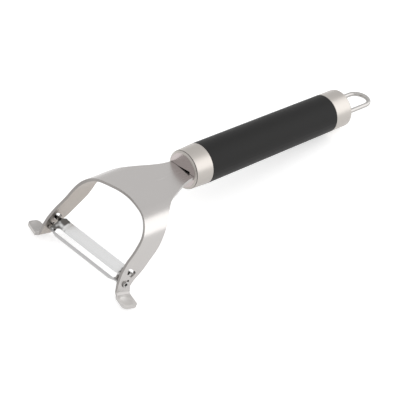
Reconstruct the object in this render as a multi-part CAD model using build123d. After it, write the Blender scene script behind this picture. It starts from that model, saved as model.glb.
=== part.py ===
from build123d import *
from math import asin, atan2, cos, degrees, radians, sin, sqrt, tan
import os

# Vegetable peeler with a swivelling blade.
# Everything is modelled in the handle's frame, in mm and degrees: the handle axis is Y, the
# front disc lies at y = 0, the blade is at -Y and the hanging loop at +Y. The last step tips
# the whole peeler on to its rest, with +Z up and the middle of its footprint at the origin.

# Fits and clearances
overrun = 1.0
slip_fit = 0.03
running_fit = 0.08
side_gap = 2.3
swing_margin = 0.6

# Yoke sheet, shoulder bends and tang
sheet = 1.5
shoulder_start = 13.4
shoulder_radius = 12.65
shoulder_angle = 80.87
arm_length = 52.35
head_reach = 61.2
tang_half_width = 8.4
tang_shoulder = 3.0
tail_half_width = 5.0
tang_end = 20.0
bend_steps = 6

# Outlines of the flat blank, as shares of arm_length across and of head_reach forward
rear_edge_shares = [(0.171, 0.074), (0.193, 0.131), (0.225, 0.196), (0.262, 0.263), (0.304, 0.333),
                    (0.372, 0.405), (0.432, 0.451), (0.499, 0.493), (0.565, 0.528), (0.640, 0.564),
                    (0.709, 0.608), (0.785, 0.685), (0.869, 0.773), (0.923, 0.850), (0.967, 0.889)]
arch_edge_shares = [(0.0, 0.601), (0.053, 0.603), (0.172, 0.623), (0.287, 0.652), (0.371, 0.675),
                    (0.437, 0.699), (0.533, 0.742), (0.611, 0.792), (0.684, 0.856), (0.732, 0.907),
                    (0.776, 0.941), (0.819, 0.969), (0.856, 0.986), (0.902, 1.004)]
fold_front_shares = (0.967, 1.016)
fold_rear_shares = (1.0, 0.891)

# Feet
right_fold_angle = 76.0
left_fold_angle = 90.0
fold_radius = 2.0
foot_length = 9.7
foot_width = 8.6
foot_corner = 2.2
# Outlines from the front end of the fold: shares of foot_width along it, of foot_length outward
right_foot_shares = [(-0.1, 0.13), (-0.31, 0.99), (0.70, 0.99)]
left_foot_shares = [(-0.1, 0.13), (0.12, 1.02), (0.93, 0.95)]
dish_width = 6.4
dish_depth = 0.55
right_dish_shares = (0.21, 0.56)
left_dish_shares = (0.48, 0.58)

# Pivot and stop window, with the pivot placed on the flat blank as its outlines are
pivot_shares = (0.9242, 0.9376)
pivot_hole_radius = 1.7
keyhole_radius = 0.7
keyhole_offset = 1.9
keyhole_angle = 28.0
window_radius = 5.8
window_width = 3.4
window_corner = 0.6
swing_down = 18.0
swing_up = 3.0

# Blade
strip = 0.9
blade_pitch = 20.0
guard_width = 1.47
slot_width = 3.0
cutter_width = 5.86
guard_ahead = 2.96
strip_lift = 0.65
slot_margin = 0.8
slot_slant = 2.4
slot_corner = 0.8
bevel_width = 1.3
bevel_edge = 0.15
# Front and rear corners of the strip's ends: along the strip and across it
guard_corner = (5.3, 1.3)
rear_corner = (1.9, 2.3)
rise_run = 6.4
rise_radius = 15.0
lug_size = 1.7
lug_radius = 5.3
lug_angle = 56.7
lug_proud = 0.5
pin_wall = 0.85
pin_proud = 0.7

# Front plug
disc_radius = 8.7
rim_radius = 9.82
rim_bevel = 0.62
rim_length = 0.78
slit_over = 0.12
slit_side = 0.1
# The slit gapes towards one side: where the gape starts and is widest, as shares of disc_radius
gape = 0.45
gape_start_share = -0.37
gape_widest_share = 0.57
plug_length = 9.0
spigot_length = 6.0

# Tang pins
tang_pin_radius = 1.0
tang_pin_offset = 2.6
tang_pin_reach = 6.0
tang_pin_recess = 0.3

# Front ferrule
seam = 0.22
ferrule_end = 11.0
ferrule_front_radius = 10.0
ferrule_rear_radius = 10.42
ferrule_bore_radius = 9.2
ferrule_edge = 0.15

# Core tube
core_radius = 7.5
core_wall = 1.0
core_end = 98.0

# Grip sleeve
grip_end = 97.45
grip_rear_radius = 9.89
grip_step = 2.0
grip_edge = 0.15

# Rear cap and loop anchor
cap_end = 108.5
cap_end_radius = 9.85
cap_wall = 0.9
cap_floor = 1.2
cap_edge = 1.25
cap_lip_edge = 0.12
anchor_spigot = 5.0
leg_depth = 6.0

# Hanging loop
wire_radius = 1.175
loop_radius = 5.9
loop_tip = 128.3


def turned(points):
    """Solid turned about the handle axis from (radius, place along the handle) points."""
    return revolve(make_face(Polyline(*points, close=True)), Axis.Y)


def rings_at(solid, radius, place):
    """Round edges of a turned solid at one radius and one place along the handle."""
    return [
        edge
        for edge in solid.edges().filter_by(GeomType.CIRCLE)
        if abs(edge.radius - radius) < slip_fit / 2 and abs(edge.arc_center.Y - place) < slip_fit / 2
    ]


# Places worked out from the sizes above
bend_end = shoulder_start + shoulder_radius * radians(shoulder_angle)
bend_middle = (shoulder_start + bend_end) / 2
arm_slope = 1 / tan(radians(shoulder_angle))


def sheet_point(across, forward):
    """Point on the outer face of the bent sheet for a point of the flat blank."""
    turn = radians(shoulder_angle)
    top = sheet / 2
    if across <= shoulder_start:
        return Vector(across, forward, top)
    if across <= bend_end:
        turn = (across - shoulder_start) / shoulder_radius
        return Vector(
            shoulder_start + shoulder_radius * sin(turn),
            forward,
            top - shoulder_radius * (1 - cos(turn)),
        )
    rest = across - bend_end
    return Vector(
        shoulder_start + shoulder_radius * sin(turn) + rest * cos(turn),
        forward,
        top - shoulder_radius * (1 - cos(turn)) - rest * sin(turn),
    )


def arm_outer(drop):
    """Distance of an arm's outer face from the middle, at a depth below the handle axis."""
    end = sheet_point(bend_end, 0)
    return end.X + (end.Z + drop) * arm_slope


def arm_inner(drop):
    """Distance of an arm's inner face from the middle, at a depth below the handle axis."""
    return arm_outer(drop) - sheet / sin(radians(shoulder_angle))


# The pivot goes with the arm, and the blade's length with the room between the arms
pivot_reach = pivot_shares[1] * head_reach
pivot_drop = -sheet_point(pivot_shares[0] * arm_length, 0).Z
strip_end = arm_inner(pivot_drop) - side_gap
slot_end = strip_end - slot_margin
rise_start = strip_end - rise_run


def blank_point(shares):
    """Point of the flat blank from its shares of arm length and head reach."""
    return Vector(shares[0] * arm_length, -shares[1] * head_reach, 0)


def rear_curve():
    """Rear edge of one arm on the flat blank, from the tang to the foot's fold."""
    points = [Vector(tang_half_width, 0, 0)] + [blank_point(pair) for pair in rear_edge_shares]
    return Spline(*points)


def arch_curve():
    """Front edge of one arm on the flat blank, from the middle of the arch to the fold."""
    points = [blank_point(pair) for pair in arch_edge_shares]
    return Spline(*points, tangents=[(1, 0, 0), points[-1] - points[-2]])


def flat_blank():
    """Half of the yoke's flat blank, from the middle line to the foot's fold."""
    rear = rear_curve()
    arch = arch_curve()
    outline = [
        arch,
        Polyline(arch @ 1, blank_point(fold_front_shares), blank_point(fold_rear_shares), rear @ 1),
        rear,
        Polyline(
            rear @ 0,
            (tang_half_width, tang_shoulder),
            (tail_half_width, tang_shoulder),
            (tail_half_width, tang_end),
            (0, tang_end),
            arch @ 0,
        ),
    ]
    return make_face(outline)


def blank_band(blank, start, end):
    """Part of the flat blank between two distances from the middle line."""
    band = Pos((start + end) / 2, 0) * Rectangle(end - start, 2 * (tang_end + head_reach))
    return blank & band


def curve_reach(curve, across):
    """Place along the handle where an edge curve of the blank crosses a distance."""
    low = 0
    high = 1
    for _ in range(40):
        middle = (low + high) / 2
        if (curve @ middle).X < across:
            low = middle
        else:
            high = middle
    return (curve @ middle).Y


def bend_patch(start, end, seen):
    """Piece of the shoulder bend whose outline is seen from above or from the side."""
    stations = [start + (end - start) * step / bend_steps for step in range(bend_steps + 1)]
    edges = []
    for curve in (rear_curve(), arch_curve()):
        points = [sheet_point(place, curve_reach(curve, place)) for place in stations]
        if seen == "above":
            points = [Vector(point.X, point.Y, 0) for point in points]
        else:
            points = [Vector(0, point.Y, point.Z) for point in points]
        edges.append(Spline(*points))
    rear, arch = edges
    outline = make_face([rear, arch, Line(rear @ 0, arch @ 0), Line(rear @ 1, arch @ 1)])
    reach = arm_length
    if seen == "above":
        prism = extrude(outline, amount=reach, dir=(0, 0, 1), both=True)
    else:
        prism = extrude(outline, amount=reach, dir=(1, 0, 0))
    first = sheet_point(start, 0)
    middle = sheet_point((start + end) / 2, 0)
    last = sheet_point(end, 0)
    arc = ThreePointArc(first, middle, last).edges()[0]
    skin = Face.extrude(arc, Vector(0, -head_reach, 0))
    return (skin & prism).faces()[0]


def inward_sheet(patch):
    """Sheet solid under a curved outer face."""
    centre = patch.center()
    inner = Vector(shoulder_start, centre.Y, sheet / 2 - shoulder_radius)
    return Solid.thicken(patch, sheet, normal_override=inner - centre)


def arm_plane():
    """Plane of the arm's outer face, with X down the arm and Y along the handle."""
    down = radians(shoulder_angle)
    return Plane(
        origin=sheet_point(bend_end, 0),
        x_dir=(cos(down), 0, -sin(down)),
        z_dir=(sin(down), 0, cos(down)),
    )


def foot(fold_angle, outline_shares, dish_shares):
    """Foot folded outward from the arm's end, with its pressed dish."""
    arm = arm_plane()
    front = blank_point(fold_front_shares)
    rear = blank_point(fold_rear_shares)
    corner = arm.from_local_coords(Vector(front.X - bend_end, front.Y, 0))
    far = arm.from_local_coords(Vector(rear.X - bend_end, rear.Y, 0))
    along = (far - corner).normalized()
    down = along.cross(arm.z_dir)
    turn = radians(fold_angle)
    inner = fold_radius
    outer = fold_radius + sheet

    def at_turn(radius, angle, reach=0):
        """Point of the folded section: outward bend of a radius, then a straight reach."""
        return (
            radius * sin(angle) + reach * cos(angle),
            -(inner - radius * cos(angle) + reach * sin(angle)),
        )

    reach = 2 * foot_length
    profile = make_face(
        [
            ThreePointArc(at_turn(inner, 0), at_turn(inner, turn / 2), at_turn(inner, turn)),
            Polyline(
                at_turn(inner, turn),
                at_turn(inner, turn, reach),
                at_turn(outer, turn, reach),
                at_turn(outer, turn),
            ),
            ThreePointArc(at_turn(outer, turn), at_turn(outer, turn / 2), at_turn(outer, 0)),
            Line(at_turn(outer, 0), at_turn(inner, 0)),
        ]
    )
    section = Plane(origin=corner - along * 2 * foot_width, x_dir=down, z_dir=along)
    bar = extrude(section * profile, amount=4 * foot_width)
    outward = down * cos(turn) + arm.z_dir * sin(turn)
    level = along.cross(outward)
    fold = (far - corner).length
    points = [(share[0] * foot_width, share[1] * foot_length) for share in outline_shares]
    sketch = make_face(
        Polyline((0, -2 * sheet), (0, 0), *points, (fold, 0), (fold, -2 * sheet), close=True)
    )
    tips = [vertex for vertex in sketch.vertices() if vertex.Y > foot_length / 2]
    sketch = fillet(tips, foot_corner)
    trim = extrude(Plane(origin=corner, x_dir=along, z_dir=level) * sketch, amount=foot_length, both=True)
    bend = section.from_local_coords(Vector(*at_turn(inner, turn), 0))
    height = (bend - corner).dot(level)
    side = 1 if level.Z > 0 else -1
    dish_radius = (dish_width**2 / 4 + dish_depth**2) / (2 * dish_depth)
    top = Plane(origin=corner + level * height, x_dir=along, z_dir=level)
    dish = top * Pos(
        dish_shares[0] * foot_width,
        dish_shares[1] * foot_length,
        side * (dish_radius - dish_depth),
    )
    under = top * Pos(0, 0, -side * (sheet / 2 + foot_length)) * Box(
        4 * foot_width, 4 * foot_length, 2 * foot_length
    )
    bulge = dish * Sphere(dish_radius + sheet) & under & trim
    return (bar & trim) + bulge - dish * Sphere(dish_radius)


def at_pivot(shape):
    """Place a shape drawn about the origin, looking along X, on the pivot line."""
    return Pos(0, -pivot_reach, -pivot_drop) * shape


def across_handle(sketch, start, end):
    """Prism along X of a sketch drawn with X to the tail and Y up."""
    plane = Plane(origin=(start, 0, 0), x_dir=(0, 1, 0), z_dir=(1, 0, 0))
    return extrude(plane * sketch, amount=end - start)


def lug_half_angle():
    """Half of the angle that the stop lug fills about the pivot."""
    return degrees(asin(lug_size / 2 / (lug_radius - lug_size / 2)))


def stop_window():
    """Outline of the stop window about the pivot."""
    low = lug_angle - lug_half_angle() - swing_down - swing_margin
    high = lug_angle + lug_half_angle() + swing_up + swing_margin
    inner = window_radius - window_width / 2
    outer = window_radius + window_width / 2

    def ring(radius, angle):
        return (radius * cos(radians(angle)), radius * sin(radians(angle)))

    middle = (low + high) / 2
    face = make_face(
        [
            ThreePointArc(ring(inner, low), ring(inner, middle), ring(inner, high)),
            Line(ring(inner, high), ring(outer, high)),
            ThreePointArc(ring(outer, high), ring(outer, middle), ring(outer, low)),
            Line(ring(outer, low), ring(inner, low)),
        ]
    )
    return fillet(face.vertices(), window_corner)


def make_yoke():
    """One bent sheet: plate with tang, two shoulders, two arms and two feet."""
    blank = flat_blank()
    plate = Pos(0, 0, sheet / 2) * extrude(blank_band(blank, 0, shoulder_start), amount=-sheet)
    upper = inward_sheet(bend_patch(shoulder_start, bend_middle, "above"))
    lower = inward_sheet(bend_patch(bend_middle, bend_end, "side"))
    arm_face = arm_plane() * Pos(-bend_end, 0, 0) * blank_band(blank, bend_end, 2 * arm_length)
    arm = extrude(arm_face, amount=-sheet, dir=arm_plane().z_dir)
    half = plate + upper + lower + arm
    holes = Circle(pivot_hole_radius) + stop_window()
    notch = radians(keyhole_angle)
    holes += Pos(keyhole_offset * cos(notch), keyhole_offset * sin(notch)) * Circle(keyhole_radius)
    inside = arm_inner(pivot_drop) - 2 * sheet
    half -= at_pivot(across_handle(holes, inside, arm_outer(pivot_drop) + 2 * sheet))
    half -= Pos(tang_pin_offset, tang_pin_reach, 0) * Cylinder(tang_pin_radius, 2 * sheet)
    right = half + foot(right_fold_angle, right_foot_shares, right_dish_shares)
    left = half + foot(left_fold_angle, left_foot_shares, left_dish_shares)
    return right + mirror(left, Plane.YZ)


def rise(along):
    """Height that the blade's wide bar has risen at a distance from the middle."""
    run = max(along - rise_start, 0)
    return rise_radius - sqrt(rise_radius**2 - run**2)


def blade_end():
    """Right end of the blade: risen bar, end wall, rolled pivot and stop lug."""
    low = strip_lift - strip / 2
    wall = strip_end - strip
    turn = asin((strip_end - rise_start) / rise_radius)
    centre = low + rise_radius

    def arc_point(radius, angle):
        return (rise_start + radius * sin(angle), centre - radius * cos(angle))

    inner = rise_radius - strip
    section = make_face(
        [
            ThreePointArc(
                arc_point(rise_radius, 0), arc_point(rise_radius, turn / 2), arc_point(rise_radius, turn)
            ),
            Line(arc_point(rise_radius, turn), arc_point(inner, turn)),
            ThreePointArc(arc_point(inner, turn), arc_point(inner, turn / 2), arc_point(inner, 0)),
            Line(arc_point(inner, 0), arc_point(rise_radius, 0)),
        ]
    )
    rear = guard_width + slot_width + cutter_width - guard_ahead
    bar = Plane.XZ * section
    bar = Pos(0, guard_width - guard_ahead, 0) * extrude(bar, amount=-(rear + guard_ahead - guard_width))
    pin_radius = pivot_hole_radius - running_fit
    wall_rear = rear - rear_corner[1]
    wall_front = guard_corner[1] - guard_ahead
    plate = Pos((wall + strip_end) / 2, (wall_front + wall_rear) / 2, 0) * Box(
        strip, wall_rear - wall_front, 2 * (low + rise(strip_end))
    )
    plate &= Pos(strip_end, 0, low + rise(strip_end)) * Box(
        4 * strip, 4 * rear, 2 * (low + rise(strip_end) + pin_radius / 2)
    )
    pin_end = arm_outer(pivot_drop) + pin_proud
    pin = across_handle(Circle(pin_radius), wall, pin_end)
    bore = across_handle(Circle(pin_radius - pin_wall), wall - overrun, pin_end + overrun)
    lug = Rotation(0, 0, lug_angle - blade_pitch) * Pos(lug_radius, 0) * Rectangle(lug_size, lug_size)
    lug_end = arm_outer(pivot_drop - lug_radius * sin(radians(lug_angle))) + lug_proud
    return bar + plate + pin + across_handle(lug, wall, lug_end) - bore


def make_blade():
    """Stamped blade strip with its slot, raised ends, stop lugs and rolled pivots."""
    rear = guard_width + slot_width + cutter_width - guard_ahead
    low = strip_lift - strip / 2
    slot_front = guard_width - guard_ahead
    slot_rear = slot_front + slot_width
    outline = Polyline(
        (0, -guard_ahead),
        (strip_end - guard_corner[0], -guard_ahead),
        (strip_end, guard_corner[1] - guard_ahead),
        (strip_end, rear - rear_corner[1]),
        (strip_end - rear_corner[0], rear),
        (0, rear),
        close=True,
    )
    slot = make_face(
        Polyline(
            (-slot_end, slot_front),
            (slot_end, slot_front),
            (slot_end - slot_slant, slot_rear),
            (slot_slant - slot_end, slot_rear),
            close=True,
        )
    )
    slot = fillet(slot.vertices(), slot_corner)
    half = make_face(outline)
    strip_height = 2 * (strip_lift + rise(strip_end))
    cutter = extrude(slot, amount=strip_height, both=True)
    flat = Pos(0, 0, low) * extrude(half, amount=strip)
    guard = flat & Pos(strip_end / 2, slot_front / 2 - guard_ahead / 2, 0) * Box(
        strip_end, slot_front + guard_ahead, strip_height
    )
    middle = flat & Pos(rise_start / 2, 0, 0) * Box(rise_start, 4 * rear, strip_height)
    end = blade_end()
    trim = extrude(half, amount=strip_height, both=True)
    reach = Pos(strip_end + arm_outer(pivot_drop), 0, 0) * Box(
        2 * arm_outer(pivot_drop), 4 * rear, 4 * strip_height
    )
    blade = guard + middle + (end & (trim + reach))
    grind = make_face(
        Polyline(
            (slot_rear - overrun, low + bevel_edge - overrun * (strip - bevel_edge) / bevel_width),
            (slot_rear + bevel_width, low + strip),
            (slot_rear + bevel_width, low + strip + overrun),
            (slot_rear - overrun, low + strip + overrun),
            close=True,
        )
    )
    blade -= across_handle(grind, -overrun, rise_start)
    blade += mirror(blade, Plane.YZ)
    return at_pivot(Rot(blade_pitch, 0, 0) * (blade - cutter))


# Handle
def make_front_plug():
    """Front disc and plug, slit for the yoke's tang."""
    body_radius = ferrule_bore_radius - slip_fit
    spigot_radius = core_radius - core_wall - slip_fit
    plug = turned(
        [
            (0, 0),
            (disc_radius, 0),
            (rim_radius, rim_bevel),
            (rim_radius, rim_length),
            (body_radius, rim_length),
            (body_radius, plug_length),
            (spigot_radius, plug_length),
            (spigot_radius, plug_length + spigot_length),
            (0, plug_length + spigot_length),
        ]
    )
    low = -sheet / 2
    high = sheet / 2 + slit_over
    wide = tang_half_width + slit_side
    narrow = tail_half_width + slit_side
    deep = tang_shoulder
    far = plug_length + spigot_length + overrun
    mouth = Pos(0, deep / 2 - overrun / 2, (low + high) / 2) * Box(2 * wide, deep + overrun, high - low)
    slot = Pos(0, far / 2, (low + high) / 2) * Box(2 * narrow, far, high - low)
    plug -= mouth + slot
    widest = gape_widest_share * disc_radius
    wedge = make_face(
        Polyline(
            (gape_start_share * disc_radius, -sheet / 2),
            (gape_start_share * disc_radius, high),
            (widest, high + gape),
            (widest, -sheet / 2),
            close=True,
        )
    )
    plug -= Pos(0, deep, 0) * extrude(Plane.XZ * wedge, amount=deep + overrun)
    for side in (-1, 1):
        plug -= Pos(side * tang_pin_offset, tang_pin_reach, 0) * Cylinder(
            tang_pin_radius, 3 * body_radius
        )
    return plug


def make_tang_pins():
    """Two cross pins that hold the tang in the plug."""
    farthest = tang_pin_offset + tang_pin_radius
    chord = sqrt((ferrule_bore_radius - slip_fit) ** 2 - farthest**2)
    length = 2 * (chord - tang_pin_recess)
    pin = Cylinder(tang_pin_radius - slip_fit, length)
    return Compound(
        [Pos(side * tang_pin_offset, tang_pin_reach, 0) * pin for side in (-1, 1)]
    )


def make_front_ferrule():
    """Tapered metal ring between the disc and the grip."""
    start = rim_length + seam
    ring = turned(
        [
            (ferrule_bore_radius, start),
            (ferrule_front_radius, start),
            (ferrule_rear_radius, ferrule_end),
            (ferrule_bore_radius, ferrule_end),
        ]
    )
    rims = rings_at(ring, ferrule_front_radius, start) + rings_at(ring, ferrule_rear_radius, ferrule_end)
    return chamfer(rims, ferrule_edge)


def make_core_tube():
    """Tube through the grip that joins the front plug to the loop anchor."""
    return turned(
        [
            (core_radius - core_wall, plug_length),
            (core_radius, plug_length),
            (core_radius, core_end),
            (core_radius - core_wall, core_end),
        ]
    )


def make_grip_sleeve():
    """Grip sleeve with a step at each end under the ferrule and the cap."""
    bore = core_radius + slip_fit
    front_step = ferrule_bore_radius - slip_fit
    rear_step = grip_rear_radius - cap_wall - slip_fit
    grip = turned(
        [
            (bore, plug_length),
            (front_step, plug_length),
            (front_step, ferrule_end),
            (ferrule_rear_radius, ferrule_end),
            (grip_rear_radius, grip_end),
            (rear_step, grip_end),
            (rear_step, grip_end + grip_step),
            (bore, grip_end + grip_step),
        ]
    )
    rims = rings_at(grip, ferrule_rear_radius, ferrule_end) + rings_at(grip, grip_rear_radius, grip_end)
    return chamfer(rims, grip_edge)


def leg_holes(start, end, radius):
    """Holes for the loop's two legs between two places along the handle."""
    plane = Plane(origin=(0, start, 0), x_dir=(1, 0, 0), z_dir=(0, 1, 0))
    pair = Pos(loop_radius, 0) * Circle(radius) + Pos(-loop_radius, 0) * Circle(radius)
    return extrude(plane * pair, amount=end - start)


def make_rear_cap():
    """Metal cap over the grip's rear end."""
    inside = grip_rear_radius - cap_wall
    cap = turned(
        [
            (inside, grip_end),
            (grip_rear_radius, grip_end),
            (cap_end_radius, cap_end),
            (0, cap_end),
            (0, cap_end - cap_floor),
            (inside, cap_end - cap_floor),
        ]
    )
    cap = fillet(rings_at(cap, cap_end_radius, cap_end), cap_edge)
    cap = chamfer(rings_at(cap, grip_rear_radius, grip_end), cap_lip_edge)
    return cap - leg_holes(cap_end - 2 * cap_floor, cap_end + overrun, wire_radius + slip_fit)


def make_loop_anchor():
    """Anchor inside the cap that the loop's legs are pressed into."""
    outer = grip_rear_radius - cap_wall - slip_fit
    spigot = core_radius - core_wall - slip_fit
    face = cap_end - cap_floor
    front = grip_end + grip_step
    anchor = turned(
        [
            (0, core_end - anchor_spigot),
            (spigot, core_end - anchor_spigot),
            (spigot, front),
            (outer, front),
            (outer, face),
            (0, face),
        ]
    )
    return anchor - leg_holes(face - leg_depth, face + overrun, wire_radius + slip_fit)


def make_hanging_loop():
    """Round wire loop: two legs and a half circle."""
    start = cap_end - cap_floor - leg_depth
    bend = loop_tip - loop_radius
    path = Line((loop_radius, start), (loop_radius, bend))
    path += ThreePointArc((loop_radius, bend), (0, loop_tip), (-loop_radius, bend))
    path += Line((-loop_radius, bend), (-loop_radius, start))
    plane = Plane(origin=(loop_radius, start, 0), z_dir=(0, 1, 0))
    return sweep(plane * Circle(wire_radius), path=path)


# Rest: the feet and the rear cap stand on the same level
def rest_place(yoke, cap, whole):
    """Turn about X and shift that stand the peeler on its feet and its cap."""
    tilt = 0
    for _ in range(4):
        turned_yoke = (Rot(tilt, 0, 0) * yoke).bounding_box()
        turned_cap = (Rot(tilt, 0, 0) * cap).bounding_box()
        gap = turned_cap.min.Z - turned_yoke.min.Z
        tilt -= degrees(atan2(gap, turned_cap.max.Y - turned_yoke.min.Y))
    box = (Rot(tilt, 0, 0) * whole).bounding_box()
    shift = Pos(-(box.min.X + box.max.X) / 2, -(box.min.Y + box.max.Y) / 2, -box.min.Z)
    return shift * Rot(tilt, 0, 0), tilt


pieces = {
    "yoke": make_yoke(),
    "blade": make_blade(),
    "front_plug": make_front_plug(),
    "tang_pins": make_tang_pins(),
    "front_ferrule": make_front_ferrule(),
    "core_tube": make_core_tube(),
    "grip_sleeve": make_grip_sleeve(),
    "rear_cap": make_rear_cap(),
    "loop_anchor": make_loop_anchor(),
    "hanging_loop": make_hanging_loop(),
}
rest, tilt = rest_place(pieces["yoke"], pieces["rear_cap"], Compound(list(pieces.values())))
os.makedirs("parts", exist_ok=True)
for name, piece in pieces.items():
    export_step(rest * piece, f"parts/{name}.step")
pivot = rest * Pos(0, -pivot_reach, -pivot_drop)
box = (rest * Compound(list(pieces.values()))).bounding_box()
print("tilt", round(tilt, 4), "pivot", pivot.position, "shift", rest.position)
print("size", box.size)
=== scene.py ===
from math import atan2, hypot, radians

import bpy
from mathutils import Matrix, Vector


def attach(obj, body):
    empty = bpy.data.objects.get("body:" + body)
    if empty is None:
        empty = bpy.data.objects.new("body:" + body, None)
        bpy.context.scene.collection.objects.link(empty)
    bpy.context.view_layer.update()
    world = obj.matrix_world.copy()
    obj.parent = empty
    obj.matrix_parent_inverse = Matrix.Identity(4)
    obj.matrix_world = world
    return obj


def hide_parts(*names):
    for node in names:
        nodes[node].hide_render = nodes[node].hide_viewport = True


# Vegetable peeler: looks, floor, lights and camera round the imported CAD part.

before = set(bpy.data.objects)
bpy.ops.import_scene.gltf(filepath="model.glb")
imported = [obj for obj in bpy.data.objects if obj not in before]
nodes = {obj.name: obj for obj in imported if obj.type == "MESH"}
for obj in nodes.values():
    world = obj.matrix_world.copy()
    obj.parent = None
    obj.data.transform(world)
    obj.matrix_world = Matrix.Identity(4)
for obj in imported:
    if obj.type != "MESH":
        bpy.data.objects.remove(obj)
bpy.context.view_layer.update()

# The handle's own frame: its axis is Y and its front disc lies at y = 0
HANDLE_TILT = radians(-8.3854)
HANDLE_PLACE = Vector((0.000329, -0.029408, 0.025404))
to_handle = Matrix.Rotation(-HANDLE_TILT, 3, "X")
from_handle = to_handle.transposed()

# Disc and plug, in the handle's frame: the scene's disc is thinner, which widens the seam behind it
CAD_DISC_THICKNESS = 0.00078
DISC_THICKNESS = 0.00064
DISC_BACK_RADIUS = 0.0090
DISC_FACE_RADIUS = 0.0086
SEAM_END = 0.0016
SLIT_REACH = 0.002
TANG_FADE = 0.0003

# The gape over the tang, in the handle's frame: the ends of its upper edge, and the box that cuts it
GAPE_START = -0.0036
GAPE_WIDEST = 0.0050
GAPE_LOW = 0.00087
GAPE_HIGH = 0.00185
GAPE_DEPTH = 0.0028
GAPE_TALL = 0.0016
OVERRUN = 0.0005

# Tolerances: points that are merged, points that count as level, and edges that are smoothed
WELD = 0.000001
NEARLY = 0.00001
SMOOTH_UNDER = radians(30)

# Yoke, as distances from the middle: how far the arms and the folds above the feet reach
ARM_INSIDE = 0.0285
ARM_OUTSIDE = 0.0287
FOLD_END = 0.0308

# Parts of a face's unit normal that tell an inner side, a bend, a foot's top, a cut edge and a flat end
ARM_FACING = 0.5
FOLD_RISE = 0.12
FOLD_OUT = 0.3
FOLD_FULL = 0.96
FOOT_UP = 0.5
CUT_FACING = 0.3
FACING = 0.9

# Blade: where its ears start, where its guard bar ends, and where the painted dark reflection on its bar
# starts, is full and how ragged its border is
EAR_PLACE = 0.0239
GUARD_BACK = -0.0912
BAR_REFLECTION_START = 0.0195
BAR_REFLECTION_FULL = 0.0225
BAR_REFLECTION_RAGGED = 0.012

# Tones that a material fades to: a painted dark reflection on the blade's bar, and painted shade
BAR_REFLECTION_DARK = (0.11, 0.105, 0.10)
SHADED_STEEL = (0.05, 0.047, 0.045)

# Grain: drawn-out fine noise and round broad noise, whose mean is the mask
FINE_DETAIL = 3.0
FINE_ROUGHNESS = 0.6
BROAD_SCALE = 55.0
BROAD_DETAIL = 2.0
GRAIN_LOW = 0.3
GRAIN_HIGH = 0.7
GRAIN_HEIGHT = 0.00002

# Patches that make a fade's border wander, and the split of the blade ends' painted dark reflections
# from their painted glints
PATCH_SCALE = 260.0
PATCH_DETAIL = 1.0
PATCH_PLACE = (0.0, 0.0, 0.7)
NOISE_MIDDLE = 0.5
GLINT_SPLIT_LOW = 0.44
GLINT_SPLIT_HIGH = 0.54

PLASTIC_IOR = 1.49
PLASTIC_SPECULAR = 0.11

# Floor and background
FLOOR_SIZE = 6
FLOOR_WHITE = (0.86, 0.86, 0.86)
FLOOR_ROUGHNESS = 0.9
FLOOR_GLOW = 0.5
SKY_LIGHT = 0.7
SKY_SEEN = 1.0

# Camera at the photograph's viewing angle
CAMERA_PLACE = Vector((0.56097, -0.52631, 0.63238))
CAMERA_TARGET = Vector((0.01282, -0.02907, 0.01437))
CAMERA_ROLL = radians(0.542)
CAMERA_SENSOR = 36
CAMERA_LENS = 180
CAMERA_CLIP = 0.05

# Width and height of a step on the grid that a tree's nodes are laid out on
GRID = (200, 300)


def deselect():
    bpy.ops.object.select_all(action="DESELECT")
    bpy.context.view_layer.objects.active = None


# Shader nodes
def add(tree, kind, column, row, operation=None, group=None, **values):
    """A node on the tree's grid, with its operation or group and its named sockets set."""
    node = tree.nodes.new(kind)
    node.location = (column * GRID[0], row * GRID[1])
    if operation:
        node.operation = operation
    if group:
        node.node_tree = group
    for name, value in values.items():
        node.inputs[name.replace("_", " ")].default_value = value
    return node


def new_group(name, inputs, outputs):
    """An empty node group with its named sockets."""
    group = bpy.data.node_groups.new(name, "ShaderNodeTree")
    for way, sockets in (("INPUT", inputs), ("OUTPUT", outputs)):
        for socket, kind in sockets.items():
            group.interface.new_socket(name=socket, in_out=way, socket_type="NodeSocket" + kind)
    return group, add(group, "NodeGroupInput", -6, 0), add(group, "NodeGroupOutput", 3, 0)


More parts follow.
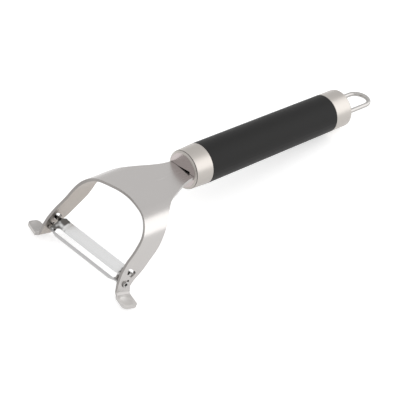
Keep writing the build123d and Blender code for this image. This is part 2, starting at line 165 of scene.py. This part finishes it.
def make_grain():
    """Group: fine grain along the handle's own axes. Gives a mask, a roughness and a normal."""
    group, start, end = new_group(
        "grain",
        {"Stretch": "Vector", "Rough low": "Float", "Rough high": "Float", "Depth": "Float"},
        {"Mask": "Float", "Roughness": "Float", "Normal": "Vector"},
    )
    place = add(group, "ShaderNodeTexCoord", -6, 1)
    turn = add(group, "ShaderNodeMapping", -5, 1, Rotation=(-HANDLE_TILT, 0, 0))
    drawn_out = add(group, "ShaderNodeVectorMath", -4, 1, "MULTIPLY")
    fine = add(group, "ShaderNodeTexNoise", -3, 1, Scale=1, Detail=FINE_DETAIL, Roughness=FINE_ROUGHNESS)
    broad = add(group, "ShaderNodeTexNoise", -3, 0, Scale=BROAD_SCALE, Detail=BROAD_DETAIL)
    total = add(group, "ShaderNodeMath", -2, 0, "ADD")
    mean = add(group, "ShaderNodeMath", -1, 0, "DIVIDE")
    mean.inputs[1].default_value = 2
    rough = add(group, "ShaderNodeMapRange", 0, 0, From_Min=GRAIN_LOW, From_Max=GRAIN_HIGH)
    bump = add(group, "ShaderNodeBump", 1, 1, Distance=GRAIN_HEIGHT)
    link = group.links.new
    link(place.outputs["Object"], turn.inputs["Vector"])
    link(turn.outputs["Vector"], drawn_out.inputs[0])
    link(start.outputs["Stretch"], drawn_out.inputs[1])
    link(drawn_out.outputs["Vector"], fine.inputs["Vector"])
    link(place.outputs["Object"], broad.inputs["Vector"])
    link(fine.outputs["Fac"], total.inputs[0])
    link(broad.outputs["Fac"], total.inputs[1])
    link(total.outputs[0], mean.inputs[0])
    link(mean.outputs[0], rough.inputs["Value"])
    link(start.outputs["Rough low"], rough.inputs["To Min"])
    link(start.outputs["Rough high"], rough.inputs["To Max"])
    link(fine.outputs["Fac"], bump.inputs["Height"])
    link(start.outputs["Depth"], bump.inputs["Strength"])
    link(mean.outputs[0], end.inputs["Mask"])
    link(rough.outputs["Result"], end.inputs["Roughness"])
    link(bump.outputs["Normal"], end.inputs["Normal"])
    return group


def make_fading():
    """Group: blends one colour to another along an axis, between two distances from a place.

    Both ways at 1 counts the distance to either side. A ragged border wanders by up to half its
    length to each side.
    """
    group, start, end = new_group(
        "fading",
        {
            "Plain": "Color",
            "Faded": "Color",
            "Axis": "Vector",
            "Place": "Vector",
            "Start": "Float",
            "End": "Float",
            "Both ways": "Float",
            "Ragged": "Float",
        },
        {"Color": "Color"},
    )
    place = add(group, "ShaderNodeTexCoord", -6, 1)
    offset = add(group, "ShaderNodeVectorMath", -5, 0, "SUBTRACT")
    along = add(group, "ShaderNodeVectorMath", -4, 0, "DOT_PRODUCT")
    away = add(group, "ShaderNodeMath", -3, 0, "ABSOLUTE")
    distance = add(group, "ShaderNodeMix", -2, 0)
    moved = add(group, "ShaderNodeMapping", -5, 1, Location=PATCH_PLACE)
    patches = add(group, "ShaderNodeTexNoise", -4, 1, Scale=PATCH_SCALE, Detail=PATCH_DETAIL)
    centred = add(group, "ShaderNodeMath", -3, 1, "SUBTRACT")
    centred.inputs[1].default_value = NOISE_MIDDLE
    wander = add(group, "ShaderNodeMath", -1, 0, "MULTIPLY_ADD")
    share = add(group, "ShaderNodeMapRange", 0, 0)
    share.interpolation_type = "SMOOTHSTEP"
    blend = add(group, "ShaderNodeMix", 1, 0)
    blend.data_type = "RGBA"
    link = group.links.new
    link(place.outputs["Object"], offset.inputs[0])
    link(start.outputs["Place"], offset.inputs[1])
    link(offset.outputs["Vector"], along.inputs[0])
    link(start.outputs["Axis"], along.inputs[1])
    link(along.outputs["Value"], away.inputs[0])
    link(start.outputs["Both ways"], distance.inputs["Factor"])
    link(along.outputs["Value"], distance.inputs["A"])
    link(away.outputs[0], distance.inputs["B"])
    link(place.outputs["Object"], moved.inputs["Vector"])
    link(moved.outputs["Vector"], patches.inputs["Vector"])
    link(patches.outputs["Fac"], centred.inputs[0])
    link(centred.outputs[0], wander.inputs[0])
    link(start.outputs["Ragged"], wander.inputs[1])
    link(distance.outputs["Result"], wander.inputs[2])
    link(wander.outputs[0], share.inputs["Value"])
    link(start.outputs["Start"], share.inputs["From Min"])
    link(start.outputs["End"], share.inputs["From Max"])
    link(share.outputs["Result"], blend.inputs["Factor"])
    link(start.outputs["Plain"], blend.inputs["A"])
    link(start.outputs["Faded"], blend.inputs["B"])
    link(blend.outputs["Result"], end.inputs["Color"])
    return group


grain = make_grain()
fading = make_fading()


# Materials
def new_material(name, metallic, color, roughness):
    """A material with a Principled shader whose plain values are set on its own sockets."""
    material = bpy.data.materials.new(name)
    material.use_nodes = True
    tree = material.node_tree
    shader = tree.nodes["Principled BSDF"]
    shader.inputs["Metallic"].default_value = metallic
    shader.inputs["Base Color"].default_value = (*color, 1)
    shader.inputs["Roughness"].default_value = roughness
    return material, tree, shader


def metal(name, light, dark, stretch, rough, depth):
    """Metal with grain: two close tones, a roughness range and a fine bump."""
    material, tree, shader = new_material(name, 1.0, light, rough[1])
    grained = add(
        tree, "ShaderNodeGroup", -4, 0,
        group=grain, Stretch=stretch, Rough_low=rough[0], Rough_high=rough[1], Depth=depth,
    )
    tone = add(tree, "ShaderNodeMix", -2, 1)
    tone.data_type = "RGBA"
    tone.inputs["A"].default_value = (*dark, 1)
    tone.inputs["B"].default_value = (*light, 1)
    link = tree.links.new
    link(grained.outputs["Mask"], tone.inputs["Factor"])
    link(tone.outputs["Result"], shader.inputs["Base Color"])
    link(grained.outputs["Roughness"], shader.inputs["Roughness"])
    link(grained.outputs["Normal"], shader.inputs["Normal"])
    return material


def plastic(name, light, dark, stretch, rough, depth):
    """Satin plastic with a fine moulded texture."""
    material = metal(name, light, dark, stretch, rough, depth)
    shader = material.node_tree.nodes["Principled BSDF"]
    shader.inputs["Metallic"].default_value = 0.0
    shader.inputs["IOR"].default_value = PLASTIC_IOR
    shader.inputs["Specular IOR Level"].default_value = PLASTIC_SPECULAR
    return material


def sharpen(material, low, high):
    """Spread the grain's mask, so that a material's two tones stand apart."""
    tree = material.node_tree
    tone = tree.nodes["Principled BSDF"].inputs["Base Color"].links[0].from_node
    mask = tone.inputs["Factor"].links[0].from_socket
    spread = add(tree, "ShaderNodeMapRange", -3, 1, From_Min=low, From_Max=high)
    tree.links.new(mask, spread.inputs["Value"])
    tree.links.new(spread.outputs["Result"], tone.inputs["Factor"])


def fade(material, color, axis, start, end, both_ways=0, ragged=0):
    """Fade a material to a colour along an axis, by the distance from the handle's front."""
    tree = material.node_tree
    socket = tree.nodes["Principled BSDF"].inputs["Base Color"]
    plain = socket.links[0].from_socket
    faded = add(
        tree, "ShaderNodeGroup", -1, 1,
        group=fading, Faded=(*color, 1), Axis=axis, Place=HANDLE_PLACE,
        Start=start, End=end, Both_ways=both_ways, Ragged=ragged,
    )
    tree.links.new(plain, faded.inputs["Plain"])
    tree.links.new(faded.outputs["Color"], socket)


yoke_steel = metal(
    "yoke_steel",
    light=(0.485, 0.468, 0.456),
    dark=(0.465, 0.448, 0.437),
    stretch=(6000, 60, 6000),
    rough=(0.22, 0.28),
    depth=0.03,
)
# Painted shade: a darker, warmer copy of the yoke's steel for the arms' inner faces
yoke_inner_painted_shade = metal(
    "yoke_inner_painted_shade",
    light=(0.45, 0.415, 0.385),
    dark=(0.42, 0.385, 0.355),
    stretch=(6000, 60, 6000),
    rough=(0.30, 0.38),
    depth=0.04,
)
# Painted shade: darker steel for the yoke's edges that face forwards
front_edge_painted_shade = metal(
    "front_edge_painted_shade",
    light=(0.335, 0.318, 0.306),
    dark=(0.29, 0.275, 0.265),
    stretch=(900, 900, 900),
    rough=(0.36, 0.46),
    depth=0.06,
)
# Painted shade on the far foot's top; the bends above both feet get the same darker, rougher tone
bend_and_far_foot_shade = metal(
    "bend_and_far_foot_shade",
    light=(0.41, 0.396, 0.386),
    dark=(0.37, 0.357, 0.348),
    stretch=(1500, 1500, 1500),
    rough=(0.42, 0.50),
    depth=0.05,
)
# Painted light: a lighter, rougher steel for the near foot's top only
near_foot_painted_light = metal(
    "near_foot_painted_light",
    light=(0.62, 0.604, 0.591),
    dark=(0.58, 0.564, 0.551),
    stretch=(1500, 1500, 1500),
    rough=(0.46, 0.54),
    depth=0.05,
)
blade_steel = metal(
    "blade_steel",
    light=(0.68, 0.68, 0.68),
    dark=(0.65, 0.65, 0.65),
    stretch=(40, 2500, 2500),
    rough=(0.24, 0.28),
    depth=0.012,
)
# Painted reflection: the blade's ends split into near-black patches and bright glints
blade_end_painted_reflection = metal(
    "blade_end_painted_reflection",
    light=(0.50, 0.49, 0.48),
    dark=(0.03, 0.028, 0.026),
    stretch=(700, 700, 700),
    rough=(0.20, 0.34),
    depth=0.12,
)
guard_steel = metal(
    "guard_steel",
    light=(0.48, 0.475, 0.475),
    dark=(0.45, 0.445, 0.445),
    stretch=(60, 9000, 9000),
    rough=(0.24, 0.32),
    depth=0.04,
)
plug_steel = metal(
    "plug_steel",
    light=(0.52, 0.471, 0.463),
    dark=(0.487, 0.437, 0.43),
    stretch=(3000, 3000, 3000),
    rough=(0.17, 0.22),
    depth=0.02,
)
collar_steel = metal(
    "collar_steel",
    light=(0.455, 0.428, 0.402),
    dark=(0.425, 0.40, 0.374),
    stretch=(150, 6000, 150),
    rough=(0.32, 0.38),
    depth=0.05,
)
shaded_steel = metal(
    "shaded_steel",
    light=SHADED_STEEL,
    dark=(0.04, 0.037, 0.035),
    stretch=(1500, 1500, 1500),
    rough=(0.5, 0.6),
    depth=0.05,
)
hidden_steel = metal(
    "hidden_steel",
    light=(0.5, 0.5, 0.5),
    dark=(0.45, 0.45, 0.45),
    stretch=(900, 900, 900),
    rough=(0.3, 0.4),
    depth=0.1,
)
loop_steel = metal(
    "loop_steel",
    light=(0.42, 0.407, 0.394),
    dark=(0.39, 0.377, 0.365),
    stretch=(900, 900, 900),
    rough=(0.22, 0.28),
    depth=0.04,
)
grip_plastic = plastic(
    "grip_plastic",
    light=(0.0215, 0.0212, 0.021),
    dark=(0.018, 0.0178, 0.0176),
    stretch=(2600, 2600, 2600),
    rough=(0.45, 0.55),
    depth=0.15,
)
anchor_plastic = plastic(
    "anchor_plastic",
    light=(0.05, 0.05, 0.05),
    dark=(0.04, 0.04, 0.04),
    stretch=(1500, 1500, 1500),
    rough=(0.4, 0.5),
    depth=0.2,
)

# The blade's ends get painted dark reflections and glints, its bar a painted dark reflection towards
# them, and the tang painted shade inside the slit
sharpen(blade_end_painted_reflection, GLINT_SPLIT_LOW, GLINT_SPLIT_HIGH)
fade(blade_steel, BAR_REFLECTION_DARK, (1, 0, 0), BAR_REFLECTION_START, BAR_REFLECTION_FULL, both_ways=1, ragged=BAR_REFLECTION_RAGGED)
fade(yoke_steel, SHADED_STEEL, from_handle @ Vector((0, 1, 0)), 0, TANG_FADE)


# The plug, cut again for the visual model
def on_the_disc_back(point):
    """Rim of the disc's back, as the CAD has it."""
    place = to_handle @ (point - HANDLE_PLACE)
    return abs(place.y - CAD_DISC_THICKNESS) < NEARLY and hypot(place.x, place.z) > DISC_BACK_RADIUS


def add_gape_box():
    """A box that leans with the gape and fills it, from just in front of the disc."""
    run = GAPE_WIDEST - GAPE_START
    rise = GAPE_HIGH - GAPE_LOW
    lean = Matrix.Rotation(-atan2(rise, run), 3, "Y")
    middle = Vector((hypot(run, rise) / 2, (GAPE_DEPTH - OVERRUN) / 2, -GAPE_TALL / 2))
    corner = Vector((GAPE_START, 0, GAPE_LOW))
    bpy.ops.mesh.primitive_cube_add(
        size=1,
        location=HANDLE_PLACE + from_handle @ (corner + lean @ middle),
        rotation=(from_handle @ lean).to_euler(),
        scale=(hypot(run, rise), GAPE_DEPTH + OVERRUN, GAPE_TALL),
    )
    return bpy.context.object


def make_gaping_plug():
    """The plug with a thinner disc, and with its slit gaping to one side over the tang."""
    box = add_gape_box()
    deselect()
    plug = bpy.data.objects.new("gaping_plug", nodes["front_plug"].data.copy())
    bpy.context.scene.collection.objects.link(plug)
    plug.select_set(True)
    bpy.context.view_layer.objects.active = plug
    bpy.ops.object.mode_set(mode="EDIT")
    bpy.ops.mesh.select_all(action="SELECT")
    bpy.ops.mesh.remove_doubles(threshold=WELD)
    bpy.ops.mesh.customdata_custom_splitnormals_clear()
    bpy.ops.mesh.select_all(action="DESELECT")
    bpy.ops.object.mode_set(mode="OBJECT")
    for vertex in plug.data.vertices:
        vertex.select = on_the_disc_back(vertex.co)
    bpy.ops.object.mode_set(mode="EDIT")
    bpy.ops.transform.translate(value=from_handle @ Vector((0, DISC_THICKNESS - CAD_DISC_THICKNESS, 0)))
    bpy.ops.object.mode_set(mode="OBJECT")
    bpy.ops.object.modifier_add(type="BOOLEAN")
    cut = plug.modifiers[-1]
    cut.object = box
    cut.operation = "DIFFERENCE"
    cut.solver = "EXACT"
    bpy.ops.object.modifier_apply(modifier=cut.name)
    bpy.ops.object.shade_smooth_by_angle(angle=SMOOTH_UNDER)
    bpy.ops.object.modifier_add(type="WEIGHTED_NORMAL")
    flat = plug.modifiers[-1]
    flat.keep_sharp = True
    bpy.ops.object.modifier_apply(modifier=flat.name)
    bpy.data.objects.remove(box)
    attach(plug, "handle")
    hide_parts("front_plug")
    return plug


# Faces that have a material of their own
def handle_place(face):
    """Middle of a face in the handle's own frame."""
    return to_handle @ (face.center - HANDLE_PLACE)


def handle_facing(face):
    """Direction that a face looks in, in the handle's own frame."""
    return to_handle @ face.normal


def inside_the_arms(face):
    """Inner faces of the arms and shoulders, which turn towards the middle, painted darker and warmer as
    shade between the arms.
    """
    inwards = face.normal.x * face.center.x < 0 and abs(face.normal.x) > ARM_FACING
    return inwards and abs(face.center.x) < ARM_INSIDE


def on_the_cut_edge(face):
    """Front edges of the yoke's sheet, round the arch and down the arms, painted darker than its faces
    as shade; only edges that face forwards get it.
    """
    return handle_facing(face).y < -CUT_FACING and abs(face.center.x) < ARM_OUTSIDE


def on_the_near_foot(face):
    """Dished top of the foot on the camera's side, rougher than the sheet and painted lighter as light
    falling on it.
    """
    return face.center.x > FOLD_END and face.normal.z > FOOT_UP


def on_bends_and_far_foot_shade(face):
    """Top of the far foot, painted darker as shade, and the outside of the bend above each foot, darker
    and rougher than the sheet.
    """
    bent = FOLD_OUT < abs(face.normal.x) < FOLD_FULL and face.normal.z > FOLD_RISE
    on_the_bend = bent and ARM_OUTSIDE < abs(face.center.x) < FOLD_END
    on_the_far_foot = face.center.x < -FOLD_END and face.normal.z > FOOT_UP
    return on_the_bend or on_the_far_foot


def on_the_guard(face):
    """Thin bar in front of the slot."""
    return face.center.y < GUARD_BACK and abs(face.center.x) < EAR_PLACE


def on_the_ears(face):
    """End walls, rolled pivots and stop lugs of the blade, painted with dark reflections and bright
    glints.
    """
    return abs(face.center.x) > EAR_PLACE


def on_the_rim(face):
    """Bevel and side of the disc, which turn away from the handle's axis."""
    place = handle_place(face)
    away = hypot(place.x, place.z) > DISC_FACE_RADIUS
    return away and place.y < DISC_THICKNESS and abs(handle_facing(face).y) < FACING


def behind_the_disc(face):
    """Walls of the slit and the body of the plug, where no light reaches."""
    place = handle_place(face)
    in_slit = abs(place.z) < SLIT_REACH and abs(handle_facing(face).z) > FACING
    return in_slit and hypot(place.x, place.z) < DISC_FACE_RADIUS or place.y > DISC_THICKNESS


def in_the_seam(face):
    """Front end of the ferrule, which looks into the seam behind the disc, painted near black as the
    seam's shade.
    """
    return handle_place(face).y < SEAM_END and handle_facing(face).y < -FACING


def paint(piece, material, others=()):
    """Give a piece its material, and the faces that a test picks a material of their own."""
    mesh = piece.data
    mesh.materials.clear()
    mesh.materials.append(material)
    for place, (other, picks) in enumerate(others, 1):
        mesh.materials.append(other)
        for face in mesh.polygons:
            if picks(face):
                face.material_index = place


yoke_faces = [
    (yoke_inner_painted_shade, inside_the_arms),
    (front_edge_painted_shade, on_the_cut_edge),
    (near_foot_painted_light, on_the_near_foot),
    (bend_and_far_foot_shade, on_bends_and_far_foot_shade),
]
paint(nodes["yoke"], yoke_steel, yoke_faces)
paint(nodes["blade"], blade_steel, [(blade_end_painted_reflection, on_the_ears), (guard_steel, on_the_guard)])
paint(make_gaping_plug(), plug_steel, [(collar_steel, on_the_rim), (shaded_steel, behind_the_disc)])
paint(nodes["front_ferrule"], collar_steel, [(shaded_steel, in_the_seam)])
paint(nodes["tang_pins"], hidden_steel)
paint(nodes["core_tube"], hidden_steel)
paint(nodes["grip_sleeve"], grip_plastic)
paint(nodes["rear_cap"], collar_steel)
paint(nodes["loop_anchor"], anchor_plastic)
paint(nodes["hanging_loop"], loop_steel)

# Floor
deselect()
bpy.ops.mesh.primitive_plane_add(size=FLOOR_SIZE, location=(0, 0, 0))
floor = bpy.context.object
floor.name = "floor"
floor_paint, floor_tree, floor_shader = new_material("floor", 0.0, FLOOR_WHITE, FLOOR_ROUGHNESS)
floor_shader.inputs["Specular IOR Level"].default_value = 0.0
floor_shader.inputs["Emission Color"].default_value = (1, 1, 1, 1)
floor_shader.inputs["Emission Strength"].default_value = FLOOR_GLOW
floor.data.materials.append(floor_paint)

# World: white to the camera, to gloss and to glass, and a little less as light
world = bpy.data.worlds.new("world")
bpy.context.scene.world = world
world.use_nodes = True
sky = world.node_tree
path = add(sky, "ShaderNodeLightPath", -5, 0)
seen = path.outputs["Is Camera Ray"]
for column, ray in ((-4, "Is Glossy Ray"), (-3, "Is Transmission Ray")):
    either = add(sky, "ShaderNodeMath", column, 0, "MAXIMUM")
    sky.links.new(seen, either.inputs[0])
    sky.links.new(path.outputs[ray], either.inputs[1])
    seen = either.outputs[0]
level = add(sky, "ShaderNodeMapRange", -2, 0, To_Min=SKY_LIGHT, To_Max=SKY_SEEN)
background = sky.nodes["Background"]
background.inputs["Color"].default_value = (1, 1, 1, 1)
sky.links.new(seen, level.inputs["Value"])
sky.links.new(level.outputs["Result"], background.inputs["Strength"])


# Lamps
def add_softbox(name, place, target, width, height, power):
    """A wide soft lamp that looks at a target."""
    lamp = bpy.data.lights.new(name, "AREA")
    lamp.shape = "RECTANGLE"
    lamp.size = width
    lamp.size_y = height
    lamp.energy = power
    holder = bpy.data.objects.new(name, lamp)
    bpy.context.scene.collection.objects.link(holder)
    holder.location = place
    aim = Vector(target) - Vector(place)
    holder.rotation_euler = aim.to_track_quat("-Z", "Y").to_euler()


head = (0.0, -0.07, 0.03)
add_softbox("back_right", place=(0.75, 0.95, 0.4), target=head, width=2.1, height=1.3, power=11.0)
add_softbox("overhead", place=(-0.2, -0.3, 1.3), target=head, width=2.6, height=2.6, power=2.4)

# Camera
camera_data = bpy.data.cameras.new("camera")
camera_data.sensor_width = CAMERA_SENSOR
camera_data.lens = CAMERA_LENS
camera_data.clip_start = CAMERA_CLIP
camera = bpy.data.objects.new("camera", camera_data)
bpy.context.scene.collection.objects.link(camera)
look = (CAMERA_TARGET - CAMERA_PLACE).to_track_quat("-Z", "Y").to_matrix().to_4x4()
camera.matrix_world = Matrix.Translation(CAMERA_PLACE) @ look @ Matrix.Rotation(CAMERA_ROLL, 4, "Z")
bpy.context.scene.camera = camera

bpy.context.scene.view_settings.view_transform = "Standard"
deselect()
